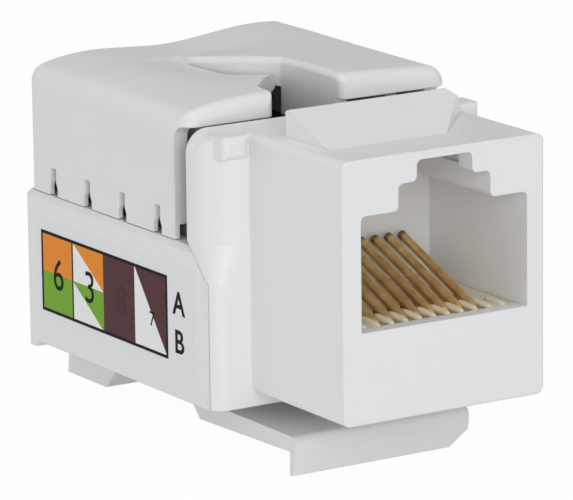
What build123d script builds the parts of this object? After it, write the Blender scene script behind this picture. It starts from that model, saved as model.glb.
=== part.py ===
from build123d import *

import os
from math import radians, tan

os.makedirs("parts", exist_ok=True)

# Millimetres. X runs across the port, Y from the port's front face to the back of the jack, Z up.
# The origin is the middle of the port's front lower edge.

# Port that stands in the panel opening
PORT_WIDTH = 14.6
PORT_HEIGHT = 16.3
PORT_DEPTH = 10.4
PORT_EDGE = 0.5
PORT_FRONT_EDGE = 0.12
PORT_SIDE = 1.275
PORT_TOP = 0.5
FRONT_WALL = 1.0
PORT_FLOOR = 1.2

# Stepped opening for the plug
OPENING_SILL = 5.7
KEYWAY_WIDTH = 6.65
KEYWAY_HEIGHT = 1.65
TAB_WIDTH = 4.0
TAB_HEIGHT = 1.3
TAB_PLATE = 1.46
TAB_DEPTH = 9.0
OPENING_CORNER = 0.35
PLUG_DEPTH = 10.6

# Fixed catch on top of the port
PANEL_GRIP = 2.2
CATCH_INSET = 1.25
CATCH_HEIGHT = 1.8
CATCH_SPREAD = 0.75
CATCH_SLANT = 1.45
CATCH_LENGTH = 4.8
CATCH_EDGE = 0.25
CATCH_CORNER_CUT = 4.3

# Shoulder flange, bridge over the back of the port and the ears at its corners
SHOULDER = 2.7
BODY_DROP = 0.9
FLANGE = 0.7
FLANGE_CORNER = 1.1
BRIDGE_DEPTH = 3.0
BRIDGE_CORNER = 2.4
BRIDGE_CROWN = 1.5
SLANT_BELOW = 2.0
SLANT_ABOVE = 0.4
EAR_WIDTH = 1.8
EAR_INSET = 0.6
EAR_HEIGHT = 1.45
EAR_PROUD = 0.5
EAR_LENGTH = 1.9
EAR_EDGE = 0.4
WALL = 1.4
FLOOR = 1.3
JOIN_GAP = 0.05

# Tongue under the body that carries the latch
TONGUE_LENGTH = 9.3
ROOT_SETBACK = 1.35
ROOT_RADIUS = 0.5
ROOT_DEPTH = 0.75
ROOT_CLEARANCE = 0.08
ROOT_CHEEK = 0.3

# Flexible latch
LATCH_INSET = 0.85
LATCH_LENGTH = 11.4
LATCH_DROP = 0.6
LATCH_THICKNESS = 1.0
LATCH_ROOT_EXTRA = 0.28
LATCH_BEND = 0.8
LIP_DEPTH = 1.5
LIP_THICKNESS = 0.55
LIP_SLOPE = 0.3
LIP_ROUND = 0.5
LIP_CORNER_WIDTH = 1.3
LIP_CORNER_HEIGHT = 1.06

# Rear body
BODY_LENGTH = 23.46
BODY_CORNER = 0.8
SEAM_EDGE = 0.3
SEAM_HEIGHT = 9.0
REAR_LIP = 0.4
REAR_LIP_SLOPE = 0.2
LUG_DEPTH = 2.65
LUG_LENGTH = 4.9
LUG_RAMP = 2.7
LUG_UNDERCUT = 0.3
LUG_INSET = 0.7
RAIL_WIDTH = 1.0
RAIL_INSET = 0.1

# Circuit board
BOARD_RISE = 1.4
BOARD_THICKNESS = 1.6
BOARD_GAP = 0.3
BOARD_CLEARANCE = 0.2
HOLE_SIDES = 8

# Spring contacts and the comb that carries them
CONTACT_COUNT = 8
CONTACT_PITCH = 1.016
CONTACT_DIAMETER = 0.6
CONTACT_SIDES = 8
CONTACT_ANGLE = 31.0
CONTACT_TIP_Y = 8.5
CONTACT_RISE = 3.45
CONTACT_DROOP = 0.9
CONTACT_BEND = 0.7
CONTACT_BEND_STEPS = 4
CONTACT_TAIL = 0.35
LEAD_RISE = 0.55
LEAD_EDGE = 1.3
LEAD_STAGGER = 1.3
LEAD_HOLE_CLEARANCE = 0.1
COMB_LENGTH = 2.1
COMB_TAPER = 0.9
COMB_FIT = 0.05
COMB_TIP = 0.08
COMB_POCKET = 1.75
COMB_POCKET_END = 0.3
CARRIER_FIT = 0.06
CARRIER_REACH = 1.0

# Terminal rows
SLOT_COUNT = 4
SLOT_LEAD = 2.8
SLOT_TRAIL = 3.21
ROW_INSET = 0.5
ROW_THICKNESS = 2.2
ROW_MARGIN = 1.05
ROW_RISE = 3.4
BLOCK_FIT = 0.1
BLOCK_RISE = 1.0
BLOCK_PLATE = 2.0
BLOCK_GAP = 0.1
BLOCK_SCREEN = 0.85
BLOCK_SCREEN_INSET = 0.8
BLOCK_SCREEN_DROP = 0.9
WIRE_SLOT_WIDTH = 0.9
WIRE_SLOT_RISE = 0.3
WIRE_SLOT_FLARE = 0.4
TERMINAL_THICKNESS = 0.4
TERMINAL_WIDTH = 1.8
TERMINAL_SINK = 0.4
TERMINAL_GAP = 0.3
TERMINAL_FLARE = 0.35
TERMINAL_PIN = 0.6
TERMINAL_TAIL = 0.3
TERMINAL_FIT = 0.05
PIN_HOLE_CLEARANCE = 0.15

# Wiring cap
CAP_INSET = 0.3
CAP_FRONT_GAP = 0.25
CAP_BACK_INSET = 0.35
CAP_WALL = 1.0
CAP_SEAT_GAP = 0.06
CAP_HEIGHT = 9.0
CAP_ROOF = 1.6
CAP_BACK_ROUND = 0.9
ARM_REACH = 0.75
ARM_ROUND = 0.9
LEFT_ARM_DROP = 0.15
RIGHT_ARM_RISE = 0.3
SKIRT_SETBACK = 0.7
SKIRT_ROUND = 1.0
CROWN_ROUND = 1.2
CROWN_LEFT_DROP = 1.0
CROWN_RIGHT_DROP = 0.05
LEFT_LOBE_INSET = 4.4
LEFT_LOBE_DROP = 0.28
RIGHT_LOBE_INSET = 3.2
RIGHT_LOBE_RISE = 0.1
CROWN_VALLEY_X = 0.3
CROWN_VALLEY_DROP = 0.5
FLAP_DIP_FRONT = 0.6
FLAP_DIP_MIDDLE = 0.8
FLAP_DIP_END = 1.2
FLAP_LIP_INSET = 0.25
FLAP_LIP_RISE = 0.25
FLAP_LIP_ROUND = 0.4
SLIT_LEAD_SHARE = 0.3385
SLIT_TRAIL_SHARE = 0.3337
SLIT_RUNOUT = 1.2
SLIT_WIDTH = 0.4
SLIT_END_X = 1.2
SLIT_CORNER = 0.6
MOUTH_LEFT = 3.2
MOUTH_STRAIGHT = 2.05
MOUTH_RIGHT = 1.75
MOUTH_RIB = 0.8
MOUTH_RIB_DEPTH = 1.8
CAP_SLOT_WIDTH = 0.65
CAP_SLOT_HEIGHT = 1.8
CAP_HOLE_WIDTH = 1.0
CAP_HOLE_HEIGHT = 0.55
CAP_HOLE_PEAK = 0.35
SKIRT_EDGE = 0.35
PUSHER_THICKNESS = 0.8
PUSHER_GAP = 0.4

# Printed wiring label
LABEL_SETBACK = 1.4
LABEL_END = 1.86
LABEL_BELOW = 1.6
LABEL_ABOVE = 1.5
LABEL_THICKNESS = 0.1
LABEL_CORNER = 0.3

# Widths worked out from the sizes above
OPENING_WIDTH = PORT_WIDTH - 2 * PORT_SIDE
CATCH_WIDTH = PORT_WIDTH - 2 * CATCH_INSET
LATCH_WIDTH = PORT_WIDTH - 2 * LATCH_INSET
BODY_WIDTH = PORT_WIDTH + 2 * SHOULDER
BODY_HALF = BODY_WIDTH / 2
INNER_HALF = BODY_HALF - WALL
ROW_CENTRE = INNER_HALF - ROW_INSET - ROW_THICKNESS / 2
CAP_WIDTH = BODY_WIDTH - 2 * CAP_INSET
CAP_HALF = CAP_WIDTH / 2
CONTACT_STATIONS = [(index - (CONTACT_COUNT - 1) / 2) * CONTACT_PITCH for index in range(CONTACT_COUNT)]

# Places along Y
CATCH_BACK = PORT_DEPTH - PANEL_GRIP
CATCH_FRONT = CATCH_BACK - CATCH_LENGTH
FLANGE_BACK = PORT_DEPTH + FLANGE
BRIDGE_BACK = PORT_DEPTH + BRIDGE_DEPTH
TONGUE_BACK = PORT_DEPTH + TONGUE_LENGTH
ROOT_Y = TONGUE_BACK - ROOT_SETBACK
LATCH_FRONT = ROOT_Y - LATCH_LENGTH
BODY_BACK = PORT_DEPTH + BODY_LENGTH
INNER_BACK = BODY_BACK - WALL
CARRIER_BACK = FLANGE_BACK + CARRIER_REACH
BOARD_FRONT = CARRIER_BACK + BOARD_GAP
LEAD_ROW = BOARD_FRONT + LEAD_EDGE
LEAD_STATIONS = [LEAD_ROW + LEAD_STAGGER * (index % 2) for index in range(CONTACT_COUNT)]
COMB_POCKET_BACK = CONTACT_TIP_Y + CONTACT_DROOP + COMB_POCKET_END
BLOCK_FRONT = BRIDGE_BACK + BLOCK_GAP
CAP_FRONT = BLOCK_FRONT + BLOCK_SCREEN + CAP_FRONT_GAP
CAP_BACK = BODY_BACK - CAP_BACK_INSET
ARM_FRONT = CAP_FRONT - ARM_REACH
SKIRT_FRONT = CAP_FRONT + SKIRT_SETBACK
SLIT_START = CAP_FRONT + SLIT_LEAD_SHARE * (CAP_BACK - CAP_FRONT)
SLIT_END = CAP_BACK - SLIT_TRAIL_SHARE * (CAP_BACK - CAP_FRONT)
LIP_END = SLIT_END + SLIT_RUNOUT
SLOT_FIRST = CAP_FRONT + SLOT_LEAD
SLOT_PITCH = (CAP_BACK - SLOT_TRAIL - SLOT_FIRST) / (SLOT_COUNT - 1)
SLOT_STATIONS = [SLOT_FIRST + SLOT_PITCH * index for index in range(SLOT_COUNT)]
TERMINAL_PLACES = [(side * ROW_CENTRE, station) for side in (-1, 1) for station in SLOT_STATIONS]
LABEL_FRONT = FLANGE_BACK + LABEL_SETBACK
LABEL_BACK = BODY_BACK - LABEL_END

# Heights
BODY_BOTTOM = -BODY_DROP
FLOOR_TOP = BODY_BOTTOM + FLOOR
OPENING_HEIGHT = PORT_HEIGHT - PORT_TOP - TAB_HEIGHT - KEYWAY_HEIGHT - OPENING_SILL
EAR_BOTTOM = PORT_HEIGHT - EAR_HEIGHT
SLANT_LOW = SEAM_HEIGHT - SLANT_BELOW
SLANT_HIGH = SEAM_HEIGHT + SLANT_ABOVE
ROOT_Z = BODY_BOTTOM - ROOT_DEPTH
LATCH_TOP = ROOT_Z - LATCH_DROP
BOARD_HEIGHT = FLOOR_TOP + BOARD_RISE
BOARD_TOP = BOARD_HEIGHT + BOARD_THICKNESS
LEAD_HEIGHT = BOARD_TOP + LEAD_RISE
CONTACT_TIP_HEIGHT = OPENING_SILL + CONTACT_RISE
COMB_POCKET_FLOOR = OPENING_SILL - COMB_POCKET
BLOCK_BASE = BOARD_TOP + BLOCK_RISE
BLOCK_SCREEN_TOP = PORT_HEIGHT - BLOCK_SCREEN_DROP
ROW_TOP = SEAM_HEIGHT + ROW_RISE
WIRE_SLOT_FLOOR = SEAM_HEIGHT + WIRE_SLOT_RISE
TERMINAL_TOP = ROW_TOP - TERMINAL_SINK
CAP_BOTTOM = SEAM_HEIGHT + CAP_SEAT_GAP
ROOF = SEAM_HEIGHT + CAP_HEIGHT
CAP_CEILING = ROOF - CAP_ROOF
LABEL_BOTTOM = BODY_BOTTOM + LABEL_BELOW
LABEL_TOP = SEAM_HEIGHT - LABEL_ABOVE
LOW = (Align.CENTER, Align.MIN, Align.MIN)


def seam_y(height):
    """Place along Y of the slanted seam between the front housing and the rear body."""
    share = (height - SLANT_LOW) / (SLANT_HIGH - SLANT_LOW)
    return FLANGE_BACK + share * (BRIDGE_BACK - FLANGE_BACK)


def corner_sliver(height, radius):
    """Sketch of what a rounding takes off the left front corner of the shoulder at one height."""
    with BuildSketch(Plane.XY.offset(height)) as sliver:
        with BuildLine():
            Polyline(
                (-BODY_HALF, PORT_DEPTH + radius),
                (-BODY_HALF, PORT_DEPTH),
                (-BODY_HALF + radius, PORT_DEPTH),
            )
            RadiusArc((-BODY_HALF + radius, PORT_DEPTH), (-BODY_HALF, PORT_DEPTH + radius), radius)
        make_face()
    return sliver.sketch


# Rounding of the shoulder's corners: small below, growing over the slant, large beside the bridge
with BuildPart() as corner_relief:
    extrude(corner_sliver(BODY_BOTTOM, FLANGE_CORNER), amount=SLANT_LOW - BODY_BOTTOM)
    loft([corner_sliver(SLANT_LOW, FLANGE_CORNER), corner_sliver(SLANT_HIGH, BRIDGE_CORNER)])
    extrude(corner_sliver(SLANT_HIGH, BRIDGE_CORNER), amount=PORT_HEIGHT - SLANT_HIGH)
    mirror(about=Plane.YZ)

# Square ears that stand forward at the bridge's upper corners
with BuildPart() as ears:
    with Locations((BODY_HALF - EAR_INSET - EAR_WIDTH / 2, PORT_DEPTH - EAR_PROUD, EAR_BOTTOM)):
        Box(EAR_WIDTH, EAR_LENGTH, EAR_HEIGHT, align=LOW)
    fillet(ears.edges().group_by(Axis.Y)[0], EAR_EDGE)
    mirror(about=Plane.YZ)

# Front housing: port, shoulder, bridge, fixed catch and the tongue that carries the latch
with BuildPart() as front_housing:
    with BuildSketch(Plane.YZ):
        with BuildLine():
            Polyline(
                (PORT_DEPTH, BODY_BOTTOM),
                (FLANGE_BACK, BODY_BOTTOM),
                (FLANGE_BACK, SLANT_LOW),
                (BRIDGE_BACK, SLANT_HIGH),
                (BRIDGE_BACK, PORT_HEIGHT),
                (PORT_DEPTH, PORT_HEIGHT),
                close=True,
            )
        make_face()
    extrude(amount=BODY_HALF, both=True)
    bridge_top = front_housing.edges().filter_by(Axis.Y).group_by(Axis.Z)[-1]
    fillet(bridge_top, BRIDGE_CROWN)
    add(corner_relief.part, mode=Mode.SUBTRACT)
    with BuildSketch(Plane.XZ):
        with Locations((0, PORT_HEIGHT / 2)):
            RectangleRounded(PORT_WIDTH, PORT_HEIGHT, PORT_EDGE)
    extrude(amount=-FLANGE_BACK)
    chamfer(front_housing.faces().sort_by(Axis.Y)[0].edges(), PORT_FRONT_EDGE)
    add(ears.part)
    catch_right = CATCH_WIDTH / 2 + CATCH_SPREAD
    with BuildSketch(Plane.YZ.offset(-CATCH_WIDTH / 2)):
        with BuildLine():
            Polyline(
                (CATCH_FRONT, PORT_HEIGHT),
                (CATCH_BACK, PORT_HEIGHT + CATCH_HEIGHT),
                (CATCH_BACK, PORT_HEIGHT - PORT_EDGE),
                (CATCH_FRONT, PORT_HEIGHT - PORT_EDGE),
                close=True,
            )
        make_face()
    extrude(amount=CATCH_WIDTH + CATCH_SPREAD)
    fillet(front_housing.edges().filter_by(Axis.X).sort_by(Axis.Z)[-1], CATCH_EDGE)
    with BuildSketch(Plane.XZ.offset(-CATCH_FRONT)):
        with BuildLine():
            Polyline(
                (catch_right, PORT_HEIGHT),
                (catch_right, PORT_HEIGHT + CATCH_HEIGHT),
                (catch_right - CATCH_SLANT, PORT_HEIGHT + CATCH_HEIGHT),
                close=True,
            )
        make_face()
    extrude(amount=-CATCH_LENGTH, mode=Mode.SUBTRACT)
    with BuildSketch(Plane.XY.offset(PORT_HEIGHT)):
        with BuildLine():
            Polyline(
                (catch_right, CATCH_BACK),
                (catch_right, CATCH_FRONT),
                (catch_right - CATCH_CORNER_CUT, CATCH_FRONT),
                close=True,
            )
        make_face()
    extrude(amount=CATCH_HEIGHT, mode=Mode.SUBTRACT)
    with BuildSketch(Plane.XZ) as opening:
        with Locations((0, OPENING_SILL)):
            Rectangle(OPENING_WIDTH, OPENING_HEIGHT, align=(Align.CENTER, Align.MIN))
        with Locations((0, OPENING_SILL + OPENING_HEIGHT)):
            Rectangle(KEYWAY_WIDTH, KEYWAY_HEIGHT, align=(Align.CENTER, Align.MIN))
        with Locations((0, OPENING_SILL + OPENING_HEIGHT + KEYWAY_HEIGHT)):
            Rectangle(TAB_WIDTH, TAB_HEIGHT, align=(Align.CENTER, Align.MIN))
        fillet(opening.vertices().sort_by(Axis.Y)[2:], OPENING_CORNER)
    extrude(amount=-PLUG_DEPTH, mode=Mode.SUBTRACT)
    with Locations((0, TAB_PLATE, PORT_HEIGHT - PORT_TOP - TAB_HEIGHT)):
        Box(KEYWAY_WIDTH, TAB_DEPTH - TAB_PLATE, TAB_HEIGHT, align=LOW, mode=Mode.SUBTRACT)
    with Locations((0, FRONT_WALL, PORT_FLOOR)):
        Box(
            OPENING_WIDTH,
            BRIDGE_BACK - FRONT_WALL,
            OPENING_SILL - PORT_FLOOR,
            align=LOW,
            mode=Mode.SUBTRACT,
        )
    with Locations((0, PORT_DEPTH + WALL, BODY_BOTTOM)):
        Box(
            2 * INNER_HALF,
            BRIDGE_DEPTH,
            PORT_HEIGHT - WALL - BODY_BOTTOM,
            align=LOW,
            mode=Mode.SUBTRACT,
        )
    with Locations((0, PORT_DEPTH, BODY_BOTTOM)):
        Box(PORT_WIDTH, TONGUE_LENGTH, FLOOR, align=LOW)
    with Locations((0, ROOT_Y - ROOT_RADIUS - ROOT_CHEEK, ROOT_Z)):
        Box(LATCH_WIDTH, 2 * (ROOT_RADIUS + ROOT_CHEEK), ROOT_DEPTH, align=LOW)
    with Locations(Location((0, ROOT_Y, ROOT_Z), (0, 90, 0))):
        Cylinder(ROOT_RADIUS + ROOT_CLEARANCE, PORT_WIDTH, mode=Mode.SUBTRACT)
front_housing.part.label = "front_housing"
export_step(front_housing.part, "parts/front_housing.step")

# Flexible latch that snaps behind the panel's lower edge, turning in the tongue's root groove
with BuildPart() as latch_arm:
    plate_bottom = LATCH_TOP - LATCH_THICKNESS
    root_bottom = plate_bottom - LATCH_ROOT_EXTRA
    lip_bottom = plate_bottom - LIP_DEPTH
    with BuildSketch(Plane.YZ):
        with BuildLine():
            Polyline(
                (ROOT_Y + ROOT_RADIUS, ROOT_Z),
                (ROOT_Y + ROOT_RADIUS, root_bottom + LATCH_BEND),
                (ROOT_Y + ROOT_RADIUS - LATCH_BEND, root_bottom),
                (LATCH_FRONT + LIP_THICKNESS, plate_bottom),
                (LATCH_FRONT + LIP_THICKNESS, lip_bottom),
                (LATCH_FRONT + LIP_SLOPE, lip_bottom),
                (LATCH_FRONT, plate_bottom),
                (LATCH_FRONT, LATCH_TOP - LIP_ROUND),
            )
            RadiusArc((LATCH_FRONT, LATCH_TOP - LIP_ROUND), (LATCH_FRONT + LIP_ROUND, LATCH_TOP), LIP_ROUND)
            Polyline(
                (LATCH_FRONT + LIP_ROUND, LATCH_TOP),
                (ROOT_Y - ROOT_RADIUS, LATCH_TOP),
                (ROOT_Y - ROOT_RADIUS, ROOT_Z),
            )
            RadiusArc((ROOT_Y - ROOT_RADIUS, ROOT_Z), (ROOT_Y + ROOT_RADIUS, ROOT_Z), ROOT_RADIUS)
        make_face()
    extrude(amount=LATCH_WIDTH / 2, both=True)
    with BuildSketch(Plane.XZ.offset(-LATCH_FRONT)):
        with BuildLine():
            Polyline(
                (LATCH_WIDTH / 2, lip_bottom + LIP_CORNER_HEIGHT),
                (LATCH_WIDTH / 2, lip_bottom),
                (LATCH_WIDTH / 2 - LIP_CORNER_WIDTH, lip_bottom),
                close=True,
            )
        make_face()
    extrude(amount=-LIP_THICKNESS, mode=Mode.SUBTRACT)
latch_arm.part.label = "latch_arm"
export_step(latch_arm.part, "parts/latch_arm.step")

# Rear body: open-topped box with the lug below and rails for the circuit board inside
with BuildPart() as rear_body:
    body_front = FLANGE_BACK + JOIN_GAP
    lug_back = BODY_BACK - LUG_INSET
    with BuildSketch(Plane.YZ):
        with BuildLine():
            Polyline(
                (body_front, BODY_BOTTOM),
                (INNER_BACK - REAR_LIP_SLOPE, BODY_BOTTOM),
                (INNER_BACK, BODY_BOTTOM - REAR_LIP),
                (BODY_BACK, BODY_BOTTOM - REAR_LIP),
                (BODY_BACK, SEAM_HEIGHT),
                (seam_y(SEAM_HEIGHT) + JOIN_GAP, SEAM_HEIGHT),
                (body_front, SLANT_LOW),
                close=True,
            )
        make_face()
    extrude(amount=BODY_HALF, both=True)
    fillet(rear_body.edges().filter_by(Axis.Z).group_by(Axis.Y)[-1], BODY_CORNER)
    chamfer(rear_body.faces().sort_by(Axis.Z)[-1].edges().sort_by(Axis.Y)[1:], SEAM_EDGE)
    with Locations((0, body_front, FLOOR_TOP)):
        Box(
            2 * INNER_HALF,
            INNER_BACK - body_front,
            SEAM_HEIGHT - FLOOR_TOP,
            align=LOW,
            mode=Mode.SUBTRACT,
        )
    with Locations((0, body_front, BODY_BOTTOM)):
        Box(
            PORT_WIDTH + 2 * JOIN_GAP,
            TONGUE_BACK - FLANGE_BACK,
            FLOOR,
            align=LOW,
            mode=Mode.SUBTRACT,
        )
    with BuildSketch(Plane.YZ):
        with BuildLine():
            Polyline(
                (lug_back - LUG_LENGTH - LUG_RAMP, BODY_BOTTOM),
                (lug_back - LUG_LENGTH, BODY_BOTTOM - LUG_DEPTH),
                (lug_back, BODY_BOTTOM - LUG_DEPTH),
                (lug_back - LUG_UNDERCUT, BODY_BOTTOM),
                close=True,
            )
        make_face()
    extrude(amount=PORT_WIDTH / 2, both=True)
    for side in (-1, 1):
        with Locations((side * (INNER_HALF - RAIL_INSET - RAIL_WIDTH / 2), TONGUE_BACK + WALL, FLOOR_TOP)):
            Box(RAIL_WIDTH, INNER_BACK - TONGUE_BACK - WALL, BOARD_HEIGHT - FLOOR_TOP, align=LOW)
rear_body.part.label = "rear_body"
export_step(rear_body.part, "parts/rear_body.step")

# Circuit board between the spring contacts and the terminal rows
with BuildPart() as circuit_board:
    with Locations((0, BOARD_FRONT, BOARD_HEIGHT)):
        Box(
            2 * (INNER_HALF - BOARD_CLEARANCE),
            INNER_BACK - BOARD_CLEARANCE - BOARD_FRONT,
            BOARD_THICKNESS,
            align=LOW,
        )
    with BuildSketch(Plane.XY.offset(BOARD_HEIGHT)):
        with Locations(*zip(CONTACT_STATIONS, LEAD_STATIONS)):
            RegularPolygon(CONTACT_DIAMETER / 2 + LEAD_HOLE_CLEARANCE, HOLE_SIDES, major_radius=False)
        with Locations(*TERMINAL_PLACES):
            RegularPolygon(TERMINAL_PIN / 2 + PIN_HOLE_CLEARANCE, HOLE_SIDES, major_radius=False)
    extrude(amount=BOARD_THICKNESS, mode=Mode.SUBTRACT)
circuit_board.part.label = "circuit_board"
export_step(circuit_board.part, "parts/circuit_board.step")

# Comb insert under the plug opening: slots that part the contacts, a pocket below them, bores for the leads
with BuildPart() as contact_carrier:
    slot_half = CONTACT_DIAMETER / 2 + COMB_FIT
    slot_flare = CONTACT_PITCH / 2 - COMB_TIP / 2
    slot_front = FRONT_WALL + COMB_FIT
    comb_back = FRONT_WALL + COMB_LENGTH
    slot_floor = LEAD_HEIGHT - slot_half
    carrier_top = OPENING_SILL - CARRIER_FIT
    with Locations((0, FRONT_WALL, PORT_FLOOR)):
        Box(
            OPENING_WIDTH - 2 * CARRIER_FIT,
            CARRIER_BACK - FRONT_WALL,
            carrier_top - PORT_FLOOR,
            align=LOW,
        )
    with Locations((0, comb_back, COMB_POCKET_FLOOR)):
        Box(
            CONTACT_COUNT * CONTACT_PITCH + COMB_TIP,
            COMB_POCKET_BACK - comb_back,
            carrier_top - COMB_POCKET_FLOOR,
            align=LOW,
            mode=Mode.SUBTRACT,
        )
    with BuildSketch(Plane.XY.offset(slot_floor)):
        for station in CONTACT_STATIONS:
            with BuildLine():
                Polyline(
                    (station - slot_half, slot_front),
                    (station + slot_half, slot_front),
                    (station + slot_half, comb_back - COMB_TAPER),
                    (station + slot_flare, comb_back),
                    (station - slot_flare, comb_back),
                    (station - slot_half, comb_back - COMB_TAPER),
                    close=True,
                )
            make_face()
    extrude(amount=carrier_top - slot_floor, mode=Mode.SUBTRACT)
    with BuildSketch(Plane.XZ.offset(-comb_back)):
        with Locations(*[(station, LEAD_HEIGHT) for station in CONTACT_STATIONS]):
            Rectangle(2 * slot_half, 2 * slot_half)
    extrude(amount=comb_back - CARRIER_BACK, mode=Mode.SUBTRACT)
contact_carrier.part.label = "contact_carrier"
export_step(contact_carrier.part, "parts/contact_carrier.step")


def stepped_bends(line):
    """Points along a line, with each of its bends in short straight steps."""
    points = []
    for edge in line.order_edges():
        steps = CONTACT_BEND_STEPS if edge.geom_type == GeomType.CIRCLE else 1
        points += [edge @ (step / steps) for step in range(steps)]
    return points + [line @ 1]


# Spring contacts: each one a bent wire from the circuit board, round the comb and up into the opening
apex_y = CONTACT_TIP_Y - (CONTACT_TIP_HEIGHT - LEAD_HEIGHT) / tan(radians(CONTACT_ANGLE))
for number, (station, lead_y) in enumerate(zip(CONTACT_STATIONS, LEAD_STATIONS), start=1):
    with BuildPart() as contact:
        with BuildLine(Plane.YZ.offset(station)) as smooth_wire:
            FilletPolyline(
                (lead_y, BOARD_HEIGHT - CONTACT_TAIL),
                (lead_y, LEAD_HEIGHT),
                (apex_y, LEAD_HEIGHT),
                (CONTACT_TIP_Y, CONTACT_TIP_HEIGHT),
                (CONTACT_TIP_Y + CONTACT_DROOP, CONTACT_TIP_HEIGHT),
                radius=CONTACT_BEND,
            )
        with BuildLine() as wire:
            Polyline(*stepped_bends(smooth_wire.wire()))
        with BuildSketch(Plane(origin=wire.line @ 0, z_dir=wire.line % 0)):
            RegularPolygon(CONTACT_DIAMETER / 2, CONTACT_SIDES)
        sweep(path=wire.wire(), transition=Transition.RIGHT)
    contact.part.label = f"contact_{number}"
    export_step(contact.part, f"parts/contact_{number}.step")

# Terminal block: base, two slotted rows and the screen that closes the gap behind the bridge
with BuildPart() as terminal_block:
    row_length = SLOT_STATIONS[-1] - SLOT_STATIONS[0] + 2 * ROW_MARGIN
    row_front = SLOT_FIRST - ROW_MARGIN
    block_half = INNER_HALF - BLOCK_FIT
    with Locations((0, BLOCK_FRONT, BLOCK_BASE)):
        Box(2 * block_half, row_front + row_length - BLOCK_FRONT, BLOCK_PLATE, align=LOW)
        Box(2 * block_half, BLOCK_SCREEN, BLOCK_SCREEN_TOP - BLOCK_BASE, align=LOW)
    with Locations((0, BLOCK_FRONT, CAP_BOTTOM)):
        Box(
            BODY_WIDTH - 2 * BLOCK_SCREEN_INSET,
            BLOCK_SCREEN,
            BLOCK_SCREEN_TOP - CAP_BOTTOM,
            align=LOW,
        )
    for side in (-1, 1):
        with Locations((side * ROW_CENTRE, row_front, BOARD_TOP)):
            Box(ROW_THICKNESS, row_length, ROW_TOP - BOARD_TOP, align=LOW)
    with BuildSketch(Plane.YZ):
        for station in SLOT_STATIONS:
            with BuildLine():
                Polyline(
                    (station - WIRE_SLOT_WIDTH / 2, WIRE_SLOT_FLOOR),
                    (station + WIRE_SLOT_WIDTH / 2, WIRE_SLOT_FLOOR),
                    (station + WIRE_SLOT_WIDTH / 2, ROW_TOP - WIRE_SLOT_FLARE),
                    (station + WIRE_SLOT_WIDTH / 2 + WIRE_SLOT_FLARE, ROW_TOP),
                    (station - WIRE_SLOT_WIDTH / 2 - WIRE_SLOT_FLARE, ROW_TOP),
                    (station - WIRE_SLOT_WIDTH / 2, ROW_TOP - WIRE_SLOT_FLARE),
                    close=True,
                )
            make_face()
    extrude(amount=block_half, both=True, mode=Mode.SUBTRACT)
    with Locations(*[(x, y, BOARD_TOP) for x, y in TERMINAL_PLACES]):
        Box(
            TERMINAL_THICKNESS + 2 * TERMINAL_FIT,
            TERMINAL_WIDTH + 2 * TERMINAL_FIT,
            ROW_TOP - BOARD_TOP,
            align=(Align.CENTER, Align.CENTER, Align.MIN),
            mode=Mode.SUBTRACT,
        )
terminal_block.part.label = "terminal_block"
export_step(terminal_block.part, "parts/terminal_block.step")

# Forked terminals that cut through the insulation of a wire pressed into them
for number, (row_x, station) in enumerate(TERMINAL_PLACES, start=1):
    with BuildPart() as terminal:
        with BuildSketch(Plane.YZ.offset(row_x)):
            with BuildLine():
                Polyline(
                    (station - TERMINAL_WIDTH / 2, BOARD_TOP),
                    (station - TERMINAL_PIN / 2, BOARD_TOP),
                    (station - TERMINAL_PIN / 2, BOARD_HEIGHT - TERMINAL_TAIL),
                    (station + TERMINAL_PIN / 2, BOARD_HEIGHT - TERMINAL_TAIL),
                    (station + TERMINAL_PIN / 2, BOARD_TOP),
                    (station + TERMINAL_WIDTH / 2, BOARD_TOP),
                    (station + TERMINAL_WIDTH / 2, TERMINAL_TOP),
                    (station + TERMINAL_GAP / 2 + TERMINAL_FLARE, TERMINAL_TOP),
                    (station + TERMINAL_GAP / 2, TERMINAL_TOP - TERMINAL_FLARE),
                    (station + TERMINAL_GAP / 2, WIRE_SLOT_FLOOR),
                    (station - TERMINAL_GAP / 2, WIRE_SLOT_FLOOR),
                    (station - TERMINAL_GAP / 2, TERMINAL_TOP - TERMINAL_FLARE),
                    (station - TERMINAL_GAP / 2 - TERMINAL_FLARE, TERMINAL_TOP),
                    (station - TERMINAL_WIDTH / 2, TERMINAL_TOP),
                    close=True,
                )
            make_face()
        extrude(amount=TERMINAL_THICKNESS / 2, both=True)
    terminal.part.label = f"terminal_{number}"
    export_step(terminal.part, f"parts/terminal_{number}.step")


def cap_section(station, crown):
    """Outline across the cap at one station along Y, with its roof through the crown's points."""
    with BuildSketch(Plane.XZ.offset(-station)) as section:
        with BuildLine():
            Polyline(crown[0], (-CAP_HALF, CAP_BOTTOM), (CAP_HALF, CAP_BOTTOM), crown[-1])
            Spline(*crown)
        make_face()
        fillet(section.vertices().sort_by(Axis.Y)[2:], CROWN_ROUND)
    return section.sketch


def right_half_plan():
    """Sketch of the right roof half seen from above, up to the slit and past its end."""
    with BuildSketch(Plane.XY.offset(CAP_BOTTOM)) as half:
        with BuildLine():
            Polyline(
                (MOUTH_RIGHT, ARM_FRONT),
                (MOUTH_RIGHT, SLIT_START),
                (-SLIT_END_X, SLIT_END),
                (-SLIT_END_X, LIP_END),
                (CAP_HALF, LIP_END),
                (CAP_HALF, ARM_FRONT),
                close=True,
            )
        make_face()
    return half.sketch


def left_crown(dip):
    """Crown's points where the left half's inner end lies below the roof by the given dip."""
    return [
        crown_left,
        left_lobe,
        (MOUTH_RIGHT, ROOF - dip),
        (CAP_HALF - RIGHT_LOBE_INSET, ROOF - dip),
        (CAP_HALF, ROOF - dip),
    ]


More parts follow.
